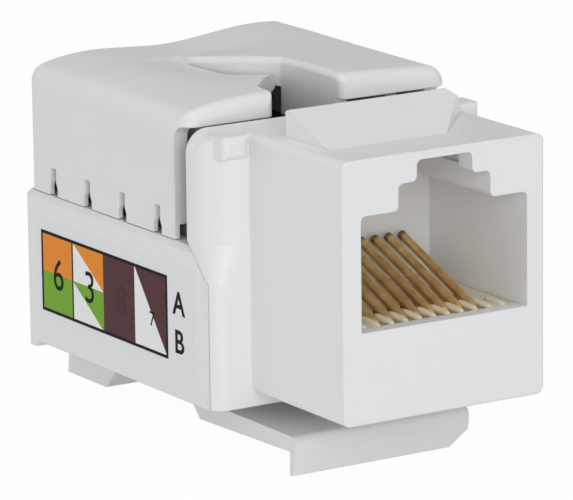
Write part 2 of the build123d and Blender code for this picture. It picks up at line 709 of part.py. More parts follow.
def front_recess(under):
    """Sketch of the space in front of the skirts and below an arm's underside, seen from the side."""
    with BuildSketch(Plane.YZ.offset(MOUTH_RIGHT)) as recess:
        with BuildLine():
            Polyline(
                (BRIDGE_BACK, CAP_BOTTOM),
                (SKIRT_FRONT, CAP_BOTTOM),
                (SKIRT_FRONT, under),
                (BRIDGE_BACK, under),
                close=True,
            )
        make_face()
        fillet(recess.vertices().sort_by(lambda corner: corner.X + corner.Y)[-1], SKIRT_ROUND)
    return recess.sketch


def rim(solid, side):
    """Edges of a roof's front or back face, without the lower one."""
    return solid.faces().sort_by(Axis.Y)[side].edges().sort_by(Axis.Z)[1:]


crown_left = (-CAP_HALF, ROOF - CROWN_LEFT_DROP)
crown_right = (CAP_HALF, ROOF - CROWN_RIGHT_DROP)
left_lobe = (LEFT_LOBE_INSET - CAP_HALF, ROOF - LEFT_LOBE_DROP)
right_lobe = (CAP_HALF - RIGHT_LOBE_INSET, ROOF + RIGHT_LOBE_RISE)
lip_top = (MOUTH_RIGHT + FLAP_LIP_INSET, ROOF + FLAP_LIP_RISE)
wave = [crown_left, left_lobe, (CROWN_VALLEY_X, ROOF - CROWN_VALLEY_DROP), right_lobe, crown_right]
lipped = [crown_left, left_lobe, lip_top, right_lobe, crown_right]

# Roof of the cap's left half, which dips towards the slit
with BuildPart() as left_roof:
    loft([
        cap_section(ARM_FRONT, left_crown(FLAP_DIP_FRONT)),
        cap_section(SLIT_START, left_crown(FLAP_DIP_MIDDLE)),
        cap_section(SLIT_END, left_crown(FLAP_DIP_END)),
        cap_section(LIP_END, wave),
    ])
    fillet(rim(left_roof, 0), ARM_ROUND)

# Roof of the cap's right half, which stands up as a rolled lip along the slit
with BuildPart() as right_roof:
    loft([cap_section(ARM_FRONT, lipped), cap_section(SLIT_START, lipped), cap_section(LIP_END, wave)])
    fillet(rim(right_roof, 0), ARM_ROUND)
    extrude(right_half_plan(), amount=CAP_WIDTH, mode=Mode.INTERSECT)
    lip_edges = right_roof.edges().filter_by(
        lambda edge: edge.center().X < MOUTH_RIGHT + JOIN_GAP and edge.center().Z > CAP_CEILING
    )
    fillet(lip_edges, FLAP_LIP_ROUND)

# Wiring cap: two roof halves, the wavy back, skirts with wire slots and the ribs that press the wires home
with BuildPart() as cap:
    add(left_roof.part)
    extrude(right_half_plan(), amount=CAP_WIDTH, mode=Mode.SUBTRACT)
    add(right_roof.part)
    extrude(cap_section(LIP_END, wave), amount=LIP_END - CAP_BACK)
    fillet(rim(cap, -1), CAP_BACK_ROUND)
    with BuildSketch(Plane.XY.offset(CAP_CEILING - LEFT_ARM_DROP - SKIRT_ROUND)):
        with BuildLine():
            FilletPolyline(
                (-CAP_HALF, ARM_FRONT),
                (-MOUTH_LEFT, ARM_FRONT),
                (-MOUTH_LEFT, ARM_FRONT + MOUTH_STRAIGHT),
                (MOUTH_RIGHT - SLIT_WIDTH, SLIT_START),
                (-SLIT_END_X - SLIT_WIDTH, SLIT_END),
                radius=SLIT_CORNER,
            )
            Line((-SLIT_END_X - SLIT_WIDTH, SLIT_END), (-SLIT_END_X, SLIT_END))
            FilletPolyline(
                (-SLIT_END_X, SLIT_END),
                (MOUTH_RIGHT, SLIT_START),
                (MOUTH_RIGHT, ARM_FRONT),
                (CAP_HALF, ARM_FRONT),
                radius=SLIT_CORNER,
            )
            Polyline(
                (CAP_HALF, ARM_FRONT),
                (CAP_HALF, ARM_FRONT - CAP_WALL),
                (-CAP_HALF, ARM_FRONT - CAP_WALL),
                (-CAP_HALF, ARM_FRONT),
            )
        make_face()
    extrude(amount=CAP_WIDTH, mode=Mode.SUBTRACT)
    extrude(front_recess(CAP_CEILING - LEFT_ARM_DROP), amount=-CAP_WIDTH, mode=Mode.SUBTRACT)
    extrude(front_recess(CAP_CEILING + RIGHT_ARM_RISE), amount=CAP_WIDTH, mode=Mode.SUBTRACT)
    with Locations((0, CAP_FRONT, CAP_BOTTOM)):
        Box(
            CAP_WIDTH - 2 * CAP_WALL,
            CAP_BACK - CAP_WALL - CAP_FRONT,
            CAP_CEILING - CAP_BOTTOM,
            align=LOW,
            mode=Mode.SUBTRACT,
        )
    with Locations((0, CAP_FRONT, CAP_BOTTOM)):
        Box(
            CAP_WIDTH - 2 * SKIRT_EDGE,
            CAP_BACK - CAP_WALL - CAP_FRONT,
            CAP_HOLE_HEIGHT + CAP_HOLE_PEAK,
            align=LOW,
            mode=Mode.SUBTRACT,
        )
    with BuildSketch(Plane.YZ):
        for station in SLOT_STATIONS:
            with BuildLine():
                Polyline(
                    (station - CAP_HOLE_WIDTH / 2, CAP_BOTTOM),
                    (station + CAP_HOLE_WIDTH / 2, CAP_BOTTOM),
                    (station + CAP_HOLE_WIDTH / 2, CAP_BOTTOM + CAP_HOLE_HEIGHT),
                    (station + CAP_SLOT_WIDTH / 2, CAP_BOTTOM + CAP_HOLE_HEIGHT + CAP_HOLE_PEAK),
                    (station + CAP_SLOT_WIDTH / 2, CAP_BOTTOM + CAP_SLOT_HEIGHT),
                    (station - CAP_SLOT_WIDTH / 2, CAP_BOTTOM + CAP_SLOT_HEIGHT),
                    (station - CAP_SLOT_WIDTH / 2, CAP_BOTTOM + CAP_HOLE_HEIGHT + CAP_HOLE_PEAK),
                    (station - CAP_HOLE_WIDTH / 2, CAP_BOTTOM + CAP_HOLE_HEIGHT),
                    close=True,
                )
            make_face()
    extrude(amount=CAP_WIDTH, both=True, mode=Mode.SUBTRACT)
    pusher_front = SLOT_FIRST - ROW_MARGIN
    pusher_bottom = ROW_TOP + PUSHER_GAP
    for side in (-1, 1):
        with Locations((side * ROW_CENTRE, pusher_front, pusher_bottom)):
            Box(
                PUSHER_THICKNESS,
                CAP_BACK - CAP_WALL - pusher_front,
                CAP_CEILING - pusher_bottom,
                align=LOW,
            )
    rib_bottom = CAP_CEILING - MOUTH_RIB_DEPTH
    with Locations((MOUTH_RIGHT + MOUTH_RIB / 2, CAP_FRONT, rib_bottom)):
        Box(MOUTH_RIB, SLIT_START - CAP_FRONT, CAP_CEILING + RIGHT_ARM_RISE - rib_bottom, align=LOW)
cap.part.label = "cap"
export_step(cap.part, "parts/cap.step")

# Printed wiring label on the left side of the rear body
with BuildPart() as wiring_label:
    with BuildSketch(Plane.YZ.offset(-BODY_HALF)):
        with Locations(((LABEL_FRONT + LABEL_BACK) / 2, (LABEL_BOTTOM + LABEL_TOP) / 2)):
            RectangleRounded(LABEL_BACK - LABEL_FRONT, LABEL_TOP - LABEL_BOTTOM, LABEL_CORNER)
    extrude(amount=-LABEL_THICKNESS)
wiring_label.part.label = "wiring_label"
export_step(wiring_label.part, "parts/wiring_label.step")
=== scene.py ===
"""Looks of a white keystone jack: moulded plastic, gold spring wires and a printed wiring label."""
import logging
import math
from dataclasses import dataclass
from enum import Enum

import bmesh
import bpy
from mathutils import Matrix, Vector


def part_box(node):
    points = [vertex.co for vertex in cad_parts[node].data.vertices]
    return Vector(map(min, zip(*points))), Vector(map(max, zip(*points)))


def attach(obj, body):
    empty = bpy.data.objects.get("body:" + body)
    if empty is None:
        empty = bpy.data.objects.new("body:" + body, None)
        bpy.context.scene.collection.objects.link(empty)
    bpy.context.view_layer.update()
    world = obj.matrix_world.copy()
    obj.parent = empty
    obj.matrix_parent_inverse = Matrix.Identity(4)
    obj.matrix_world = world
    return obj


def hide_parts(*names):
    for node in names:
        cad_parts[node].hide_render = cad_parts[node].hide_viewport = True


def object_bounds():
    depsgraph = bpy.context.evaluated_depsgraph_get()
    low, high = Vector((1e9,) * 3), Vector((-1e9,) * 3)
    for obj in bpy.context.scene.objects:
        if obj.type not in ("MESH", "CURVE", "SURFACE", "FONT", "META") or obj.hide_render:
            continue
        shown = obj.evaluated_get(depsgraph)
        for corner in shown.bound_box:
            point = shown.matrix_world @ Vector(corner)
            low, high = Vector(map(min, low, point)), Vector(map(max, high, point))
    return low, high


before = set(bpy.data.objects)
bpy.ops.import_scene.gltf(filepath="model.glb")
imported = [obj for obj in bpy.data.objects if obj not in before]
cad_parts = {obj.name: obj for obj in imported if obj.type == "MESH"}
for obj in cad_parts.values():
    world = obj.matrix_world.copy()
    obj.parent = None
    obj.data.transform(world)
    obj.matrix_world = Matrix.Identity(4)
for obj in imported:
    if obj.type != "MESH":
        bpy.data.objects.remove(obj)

LOG = logging.getLogger("keystone_jack")
MM = 0.001
CAD_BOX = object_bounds()
WELD_DISTANCE = 1e-8
EDGE_SAMPLES = 6
SIDE_CORNERS = 4

Colour = tuple[float, float, float]
Point2 = tuple[float, float]
Point3 = tuple[float, float, float]
Socket = bpy.types.NodeSocket
Sockets = dict[str, Socket]


def linear(red: int, green: int, blue: int) -> Colour:
    """Turns a colour as seen on a screen into the renderer's linear one.

    Args:
        red: red from 0 to 255.
        green: green from 0 to 255.
        blue: blue from 0 to 255.

    Returns:
        The three linear values.
    """
    shares = (value / 255 for value in (red, green, blue))
    return tuple(s / 12.92 if s <= 0.04045 else ((s + 0.055) / 1.055) ** 2.4 for s in shares)


class Body(Enum):
    """The rigid body that new pieces move with."""

    JACK = "jack"


class Slot(Enum):
    """Names of the record's finishes."""

    WIRE = "gold_wire"
    LABEL = "label"
    COMB = "cream_plastic"


class Kind(Enum):
    """The kinds of input and output that a node tree has here."""

    COLOUR = "NodeSocketColor"
    NUMBER = "NodeSocketFloat"
    WHOLE = "NodeSocketInt"
    VECTOR = "NodeSocketVector"
    SHAPE = "NodeSocketGeometry"
    FINISH = "NodeSocketMaterial"


class Graph:
    """Adds and joins the nodes of one tree."""

    def __init__(self, tree: bpy.types.NodeTree) -> None:
        """Holds the tree that the nodes go into."""
        self.tree = tree

    def add(self, kind: str, **settings: object) -> bpy.types.Node:
        """Adds a node.

        Args:
            kind: the node's type name.
            settings: properties to set on it.

        Returns:
            The new node.
        """
        node = self.tree.nodes.new(kind)
        for name, value in settings.items():
            setattr(node, name, value)
        return node

    def join(self, source: Socket, target: Socket) -> None:
        """Links an output to an input."""
        self.tree.links.new(source, target)

    def feed(self, socket: Socket, given: object) -> None:
        """Links an output to an input, or sets the input to a value.

        Args:
            socket: the input.
            given: an output socket or a value.
        """
        if isinstance(given, Socket):
            self.join(given, socket)
        else:
            socket.default_value = given

    def fill(self, node: bpy.types.Node, **inputs: object) -> bpy.types.Node:
        """Sets or links a node's inputs by name.

        Args:
            node: the node to feed.
            inputs: input names, with spaces as underscores, and a value or an output socket.

        Returns:
            The same node.
        """
        for name, given in inputs.items():
            self.feed(node.inputs[name.replace("_", " ")], given)
        return node

    def noise(self, vector: Socket, scale: float, detail: float) -> Socket:
        """Adds a noise pattern.

        Args:
            vector: coordinates that the pattern follows.
            scale: pattern cells per metre.
            detail: octaves of finer noise.

        Returns:
            The noise value, from 0 to 1.
        """
        node = self.add("ShaderNodeTexNoise")
        self.fill(node, Vector=vector, Scale=scale, Detail=detail)
        return node.outputs["Fac"]

    def math(self, operation: str, first: object, second: object = 0.0) -> Socket:
        """Adds a sum of one or two values.

        Args:
            operation: the Math node's operation.
            first: value or socket.
            second: value or socket.

        Returns:
            The result's socket.
        """
        node = self.add("ShaderNodeMath", operation=operation)
        self.feed(node.inputs[0], first)
        self.feed(node.inputs[1], second)
        return node.outputs[0]

    def spread(self, value: Socket, low: object, high: object) -> Socket:
        """Stretches a value from 0..1 to low..high.

        Args:
            value: the value to stretch.
            low: value or socket that 0 becomes.
            high: value or socket that 1 becomes.

        Returns:
            The stretched value's socket.
        """
        node = self.add("ShaderNodeMapRange")
        self.fill(node, Value=value, To_Min=low, To_Max=high)
        return node.outputs[0]

    def around(self, value: Socket, middle: object, swing: object) -> Socket:
        """Stretches a value from 0..1 to a range about a middle.

        Args:
            value: the value to stretch.
            middle: value or socket in the middle of the range.
            swing: value or socket for how far the range goes to each side.

        Returns:
            The stretched value's socket.
        """
        return self.spread(value, self.math("SUBTRACT", middle, swing), self.math("ADD", middle, swing))

    def scaled(self, colour: Socket, factor: Socket) -> Socket:
        """Multiplies a colour by a value.

        Args:
            colour: the colour's socket.
            factor: the value's socket.

        Returns:
            The product as a colour socket.
        """
        node = self.add("ShaderNodeVectorMath", operation="SCALE")
        self.join(colour, node.inputs[0])
        self.join(factor, node.inputs["Scale"])
        return node.outputs[0]

    def blended(self, share: Socket, first: Socket, second: Socket) -> Socket:
        """Blends two colours.

        Args:
            share: how much of the second colour there is.
            first: the first colour.
            second: the second colour.

        Returns:
            The blend as a colour socket.
        """
        node = self.add("ShaderNodeMix", data_type="RGBA")
        places = {socket.identifier: socket for socket in node.inputs}
        for name, source in (("Factor_Float", share), ("A_Color", first), ("B_Color", second)):
            self.join(source, places[name])
        return next(socket for socket in node.outputs if socket.identifier == "Result_Color")

    def mixed(self, share: Socket, first: Socket, second: Socket) -> Socket:
        """Mixes two shaders.

        Args:
            share: how much of the second shader there is.
            first: the first shader.
            second: the second shader.

        Returns:
            The mix as a shader socket.
        """
        node = self.add("ShaderNodeMixShader")
        for source, socket in zip((share, first, second), node.inputs):
            self.join(source, socket)
        return node.outputs[0]


def open_tree(
    name: str, kind: str, inputs: dict[str, Kind], outputs: dict[str, Kind]
) -> tuple[Graph, Sockets, Sockets]:
    """Starts a node tree with named inputs and outputs.

    Args:
        name: the tree's name.
        kind: the tree's type name.
        inputs: the inputs' names and kinds.
        outputs: the outputs' names and kinds.

    Returns:
        The graph, the sockets that come in and the sockets that go out, by name.
    """
    tree = bpy.data.node_groups.new(name, kind)
    for in_out, sockets in (("INPUT", inputs), ("OUTPUT", outputs)):
        for label, socket in sockets.items():
            tree.interface.new_socket(name=label, in_out=in_out, socket_type=socket.value)
    graph = Graph(tree)
    start = graph.add("NodeGroupInput")
    end = graph.add("NodeGroupOutput")
    return graph, dict(start.outputs.items()), dict(end.inputs.items())


@dataclass
class SurfaceEffects:
    """Shader node groups that several finishes share. Scales are pattern cells per metre."""

    tone_scale: float = 95.0
    cloud_scale: float = 620.0
    cloud_height: float = 0.6
    grain_scale: float = 11000.0
    streak_scale: float = 9000.0
    streak_stretch: Point3 = (1.0, 0.06, 1.0)
    streak_roughness: float = 0.16
    patch_scale: float = 900.0
    patch_range: Point2 = (-0.6, 1.4)
    mottle_scale: float = 1500.0
    mottle_roughness: float = 0.14
    tooth_scale: float = 14000.0

    def __post_init__(self) -> None:
        """Builds each group once."""
        self.moulding = self._moulding()
        self.drawn = self._drawn()
        self.ink = self._ink()

    @staticmethod
    def _open(name: str, inputs: dict[str, Kind]) -> tuple[Graph, Sockets, Sockets, Socket]:
        """Starts a group that gives a colour, a roughness and a height.

        Args:
            name: the group's name.
            inputs: the inputs' names and kinds.

        Returns:
            The graph, its inputs and outputs by name, and the place on the piece.
        """
        outputs = {"Colour": Kind.COLOUR, "Roughness": Kind.NUMBER, "Height": Kind.NUMBER}
        graph, given, made = open_tree(name, "ShaderNodeTree", inputs, outputs)
        return graph, given, made, graph.add("ShaderNodeTexCoord").outputs["Object"]

    def _moulding(self) -> bpy.types.NodeTree:
        """Makes the moulded surface: slow drift of tone, uneven gloss and a fine spark-eroded grain.

        Returns:
            The group.
        """
        graph, given, made, place = self._open("moulded_surface", {
            "Colour": Kind.COLOUR, "Drift": Kind.NUMBER, "Roughness": Kind.NUMBER, "Unevenness": Kind.NUMBER,
        })
        tone = graph.noise(place, self.tone_scale, detail=2)
        cloud = graph.noise(place, self.cloud_scale, detail=3)
        grain = graph.noise(place, self.grain_scale, detail=2)
        graph.join(graph.scaled(given["Colour"], graph.around(tone, 1.0, given["Drift"])), made["Colour"])
        graph.join(graph.around(cloud, given["Roughness"], given["Unevenness"]), made["Roughness"])
        graph.join(graph.math("ADD", grain, graph.math("MULTIPLY", cloud, self.cloud_height)), made["Height"])
        return graph.tree

    def _drawn(self) -> bpy.types.NodeTree:
        """Makes drawn metal: fine streaks along one direction and patches of tarnish.

        Returns:
            The group.
        """
        graph, given, made, place = self._open("drawn_metal", {
            "Bright": Kind.COLOUR, "Tarnish": Kind.COLOUR, "Tilt": Kind.VECTOR, "Roughness": Kind.NUMBER,
        })
        turned = graph.add("ShaderNodeMapping")
        graph.fill(turned, Vector=place, Rotation=given["Tilt"], Scale=self.streak_stretch)
        streak = graph.noise(turned.outputs[0], self.streak_scale, detail=3)
        patch = graph.spread(graph.noise(place, self.patch_scale, detail=3), *self.patch_range)
        graph.join(graph.blended(patch, given["Bright"], given["Tarnish"]), made["Colour"])
        roughest = graph.math("ADD", given["Roughness"], self.streak_roughness)
        graph.join(graph.spread(streak, given["Roughness"], roughest), made["Roughness"])
        graph.join(streak, made["Height"])
        return graph.tree

    def _ink(self) -> bpy.types.NodeTree:
        """Makes printed ink: thin places, mottling and a slight tooth.

        Returns:
            The group.
        """
        graph, given, made, place = self._open("printed_ink", {
            "Colour": Kind.COLOUR, "Mottle": Kind.NUMBER, "Roughness": Kind.NUMBER,
        })
        mottle = graph.noise(place, self.mottle_scale, detail=4)
        tooth = graph.noise(place, self.tooth_scale, detail=1)
        graph.join(graph.scaled(given["Colour"], graph.around(mottle, 1.0, given["Mottle"])), made["Colour"])
        roughest = graph.math("ADD", given["Roughness"], self.mottle_roughness)
        graph.join(graph.spread(mottle, given["Roughness"], roughest), made["Roughness"])
        graph.join(tooth, made["Height"])
        return graph.tree


def surface(name: str) -> tuple[bpy.types.Material, Graph, bpy.types.Node]:
    """Starts a material.

    Args:
        name: the material's name.

    Returns:
        The material, its graph and its Principled shader.
    """
    material = bpy.data.materials.new(name)
    material.use_nodes = True
    graph = Graph(material.node_tree)
    return material, graph, material.node_tree.nodes["Principled BSDF"]


def relief(graph: Graph, shader: bpy.types.Node, height: Socket, depth: float, edge: float) -> None:
    """Feeds a shader's normal from a height over softly broken edges.

    Args:
        graph: the material's graph.
        shader: the Principled shader.
        height: the pattern's height.
        depth: how deep the pattern is, in millimetres.
        edge: radius of the broken edges, in millimetres.
    """
    rounded = graph.add("ShaderNodeBevel", samples=EDGE_SAMPLES)
    graph.fill(rounded, Radius=edge * MM)
    bump = graph.add("ShaderNodeBump")
    graph.fill(bump, Height=height, Distance=depth * MM, Normal=rounded.outputs[0])
    graph.join(bump.outputs[0], shader.inputs["Normal"])


@dataclass(frozen=True)
class PlasticFinish:
    """A moulded plastic."""

    name: str
    colour: Colour
    roughness: float
    drift: float = 0.012
    unevenness: float = 0.05
    grain: float = 0.0016
    edge: float = 0.1
    ior: float = 1.49

    def material(self, effects: SurfaceEffects) -> bpy.types.Material:
        """Makes the material.

        Args:
            effects: the shared shader groups.

        Returns:
            The finished material.
        """
        material, graph, shader = surface(self.name)
        group = graph.add("ShaderNodeGroup", node_tree=effects.moulding)
        graph.fill(group, Colour=(*self.colour, 1.0), Drift=self.drift, Roughness=self.roughness,
                   Unevenness=self.unevenness)
        graph.fill(shader, Base_Color=group.outputs["Colour"], Roughness=group.outputs["Roughness"],
                   IOR=self.ior)
        relief(graph, shader, group.outputs["Height"], self.grain, self.edge)
        return material


@dataclass(frozen=True)
class MetalFinish:
    """A drawn or rolled metal with a plated face, with painted shade towards the wire's tip where it has one.
    """

    name: str
    bright: Colour
    tarnish: Colour
    roughness: float
    tilt_degrees: float = 0.0
    streak: float = 0.002
    edge: float = 0.03
    tip_shade_end: float | None = None
    tip_shade_blend: float = 0.25
    tip_shade_share: float = 0.3

    def material(self, effects: SurfaceEffects) -> bpy.types.Material:
        """Makes the material.

        Args:
            effects: the shared shader groups.

        Returns:
            The finished material.
        """
        material, graph, shader = surface(self.name)
        group = graph.add("ShaderNodeGroup", node_tree=effects.drawn)
        graph.fill(group, Bright=(*self.bright, 1.0), Tarnish=(*self.tarnish, 1.0), Roughness=self.roughness,
                   Tilt=(math.radians(self.tilt_degrees), 0.0, 0.0))
        colour = group.outputs["Colour"]
        # Painted shade: the colour darkens towards the wire's tip, standing in for the shadow at the tip.
        if self.tip_shade_end is not None:
            colour = graph.scaled(colour, self._tip_shade(graph))
        graph.fill(shader, Base_Color=colour, Roughness=group.outputs["Roughness"], Metallic=1.0)
        relief(graph, shader, group.outputs["Height"], self.streak, self.edge)
        return material

    def _tip_shade(self, graph: Graph) -> Socket:
        """Paints shade onto the wire towards its tip, which lies in shadow.

        Args:
            graph: the material's nodes.

        Returns:
            The share of the colour that is left, along Y.
        """
        place = graph.add("ShaderNodeSeparateXYZ")
        graph.join(graph.add("ShaderNodeTexCoord").outputs["Object"], place.inputs[0])
        shade = graph.add("ShaderNodeMapRange")
        graph.fill(shade, Value=place.outputs["Y"], From_Min=(self.tip_shade_end - self.tip_shade_blend) * MM,
                   From_Max=self.tip_shade_end * MM, To_Min=1.0, To_Max=self.tip_shade_share)
        return shade.outputs[0]


@dataclass(frozen=True)
class InkFinish:
    """One ink of the label's print, or the label's own face."""

    name: str
    colour: Colour
    roughness: float = 0.42
    mottle: float = 0.05
    tooth: float = 0.0008
    edge: float = 0.01
    shine: float = 0.2

    def material(self, effects: SurfaceEffects) -> bpy.types.Material:
        """Makes the material.

        Args:
            effects: the shared shader groups.

        Returns:
            The finished material.
        """
        material, graph, shader = surface(self.name)
        group = graph.add("ShaderNodeGroup", node_tree=effects.ink)
        graph.fill(group, Colour=(*self.colour, 1.0), Mottle=self.mottle, Roughness=self.roughness)
        graph.fill(shader, Base_Color=group.outputs["Colour"], Roughness=group.outputs["Roughness"],
                   Specular_IOR_Level=self.shine)
        relief(graph, shader, group.outputs["Height"], self.tooth, self.edge)
        return material


WHITE_PLASTIC = PlasticFinish("white_housing_plastic", linear(237, 238, 239), roughness=0.36)
CAP_PLASTIC = PlasticFinish("white_cap_plastic", linear(235, 236, 237), roughness=0.4, drift=0.016)
BLOCK_PLASTIC = PlasticFinish("terminal_block_plastic", linear(128, 128, 130), roughness=0.5, drift=0.06)
COMB_PLASTIC = PlasticFinish("cream_comb_plastic", linear(238, 230, 204), roughness=0.4, drift=0.03,
                             edge=0.06)
BOARD_LACQUER = PlasticFinish("board_lacquer", linear(38, 92, 52), roughness=0.32, drift=0.12)
# The gold wire's colour has painted shade over its last part before the tip.
GOLD = MetalFinish("gold_plated_wire", linear(252, 218, 156), linear(216, 170, 106), roughness=0.28,
                   tilt_degrees=-21.3, streak=0.0006, tip_shade_end=9.75)
TIN = MetalFinish("tinned_terminal", linear(206, 206, 203), linear(170, 170, 166), roughness=0.3,
                  tilt_degrees=90.0)


class Ink(Enum):
    """The label's inks and its bare face."""

    FACE = InkFinish("label_face", linear(238, 239, 240), mottle=0.015)
    WHITE = InkFinish("label_white", linear(244, 246, 246), mottle=0.02)
    ORANGE = InkFinish("label_orange", linear(240, 142, 34))
    GREEN = InkFinish("label_green", linear(118, 172, 40))
    BROWN = InkFinish("label_brown", linear(86, 50, 55), mottle=0.1, shine=0.1)
    FAINT = InkFinish("label_faint_brown", linear(78, 44, 49), mottle=0.1, shine=0.1)
    BLACK = InkFinish("label_black", linear(18, 14, 16), mottle=0.12, shine=0.08)


class Wardrobe:
    """Makes each finish's material once and puts it on pieces."""

    def __init__(self) -> None:
        """Builds the shared effects."""
        self.effects = SurfaceEffects()
        self.made: dict[str, bpy.types.Material] = {}

    def material(self, finish: PlasticFinish | MetalFinish | InkFinish) -> bpy.types.Material:
        """Gives a finish's material.

        Args:
            finish: the finish.

        Returns:
            Its material, made on first use.
        """
        if finish.name not in self.made:
            self.made[finish.name] = finish.material(self.effects)
        return self.made[finish.name]

    def dress(self, finishes: dict[str, PlasticFinish | MetalFinish]) -> list[bpy.types.Object]:
        """Puts finishes on solids of the frame.

        Args:
            finishes: the solids' names and the finish that each gets.

        Returns:
            The solids.
        """
        solids = []
        for node, finish in finishes.items():
            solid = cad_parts[node]
            if not solid.material_slots:
                solid.data.materials.append(None)
            for place in solid.material_slots:
                place.material = self.material(finish)
            solids.append(solid)
        return solids


def placed(name: str, data: bpy.types.ID) -> bpy.types.Object:
    """Puts new data into the scene.

    Args:
        name: the object's name.
        data: its mesh, text, lamp or camera.

    Returns:
        The object, at the origin.
    """
    thing = bpy.data.objects.new(name, data)
    bpy.context.scene.collection.objects.link(thing)
    return thing


def worked_out(thing: bpy.types.Object) -> bpy.types.Mesh:
    """Works out the mesh that an object's text or node tree gives.

    Args:
        thing: the object.

    Returns:
        A new plain mesh.
    """
    bpy.context.view_layer.update()
    return bpy.data.meshes.new_from_object(thing.evaluated_get(bpy.context.evaluated_depsgraph_get()))


def closed_mesh(name: str, build: bmesh.types.BMesh) -> bpy.types.Object:
    """Turns a working mesh into a piece at the origin, with its faces outwards.

    Args:
        name: the piece's name.
        build: the working mesh, which is freed.

    Returns:
        The piece's object.
    """
    bmesh.ops.remove_doubles(build, verts=build.verts, dist=WELD_DISTANCE)
    bmesh.ops.recalc_face_normals(build, faces=build.faces)
    mesh = bpy.data.meshes.new(name)
    build.to_mesh(mesh)
    build.free()
    return placed(name, mesh)


def plate(build: bmesh.types.BMesh, outline: list[Point2], inner: float, outer: float) -> None:
    """Adds a thin closed plate to a working mesh. Sizes in millimetres.

    Args:
        build: the working mesh.
        outline: the plate's corners along Y and Z.
        inner: X of its inner face.
        outer: X of its outer face.
    """
    rings = [[build.verts.new((x * MM, y * MM, z * MM)) for y, z in outline] for x in (inner, outer)]
    for ring in rings:
        build.faces.new(ring)
    total = len(outline)
    for n in range(total):
        after = (n + 1) % total
        build.faces.new((rings[0][n], rings[0][after], rings[1][after], rings[1][n]))


class BarRow:
    """A node tree that sweeps a round bar along a line, repeats it in a row and dresses it."""

    def __init__(self, name: str, extra: dict[str, Kind]) -> None:
        """Starts the tree with the line that the bar follows.

        Args:
            name: the tree's name.
            extra: the inputs that only this row has, and their kinds.
        """
        inputs = {
            "Geometry": Kind.SHAPE,
            "Count": Kind.WHOLE,
            "Start": Kind.VECTOR,
            "Step": Kind.VECTOR,
            "Radius": Kind.NUMBER,
            "Sides": Kind.WHOLE,
            "Finish": Kind.FINISH,
        }
        outputs = {"Geometry": Kind.SHAPE}
        self.graph, self.given, self.made = open_tree(name, "GeometryNodeTree", inputs | extra, outputs)
        line = self.graph.add("GeometryNodeMeshToCurve")
        self.graph.join(self.given["Geometry"], line.inputs["Mesh"])
        self.line = line.outputs[0]

    def close(self, line: Socket, **sweep: Socket) -> None:
        """Ends the tree with the bar's sweep, its row and its finish.

        Args:
            line: the line as the bar follows it.
            sweep: more inputs of the sweep.
        """
        graph, given = self.graph, self.given
        circle = graph.add("GeometryNodeCurvePrimitiveCircle", mode="RADIUS")
        graph.fill(circle, Resolution=given["Sides"], Radius=given["Radius"])
        bar = graph.add("GeometryNodeCurveToMesh")
        graph.fill(bar, Curve=line, Profile_Curve=circle.outputs[0], Fill_Caps=True, **sweep)
        places = graph.add("GeometryNodeMeshLine", mode="OFFSET")
        graph.fill(places, Count=given["Count"], Start_Location=given["Start"], Offset=given["Step"])
        row = graph.add("GeometryNodeInstanceOnPoints")
        graph.fill(row, Points=places.outputs[0], Instance=bar.outputs[0])
        real = graph.add("GeometryNodeRealizeInstances")
        graph.join(row.outputs[0], real.inputs[0])
        dressed = graph.add("GeometryNodeSetMaterial")
        graph.fill(dressed, Geometry=real.outputs[0], Material=given["Finish"])
        graph.join(dressed.outputs[0], self.made["Geometry"])

    def piece(self, name: str, corners: list[Vector], values: dict[str, object]) -> bpy.types.Object:
        """Makes one row of bars as a plain mesh with smooth sides.

        Args:
            name: the piece's name.
            corners: the line's corners in metres.
            values: what each input of the tree is set to.

        Returns:
            The piece, with no modifier.
        """
        line = bpy.data.meshes.new(f"{name}_line")
        line.from_pydata(corners, [(n, n + 1) for n in range(len(corners) - 1)], [])
        piece = placed(name, line)
        modifier = piece.modifiers.new("row", "NODES")
        modifier.node_group = self.graph.tree
        for item in self.graph.tree.interface.items_tree:
            if item.in_out == "INPUT" and item.name in values:
                modifier[item.identifier] = values[item.name]
        mesh = worked_out(piece)
        piece.modifiers.clear()
        piece.data = mesh
        build = bmesh.new()
        build.from_mesh(mesh)
        bmesh.ops.recalc_face_normals(build, faces=build.faces)
        for face in build.faces:
            face.smooth = len(face.verts) == SIDE_CORNERS
        build.to_mesh(mesh)
        build.free()
        return piece


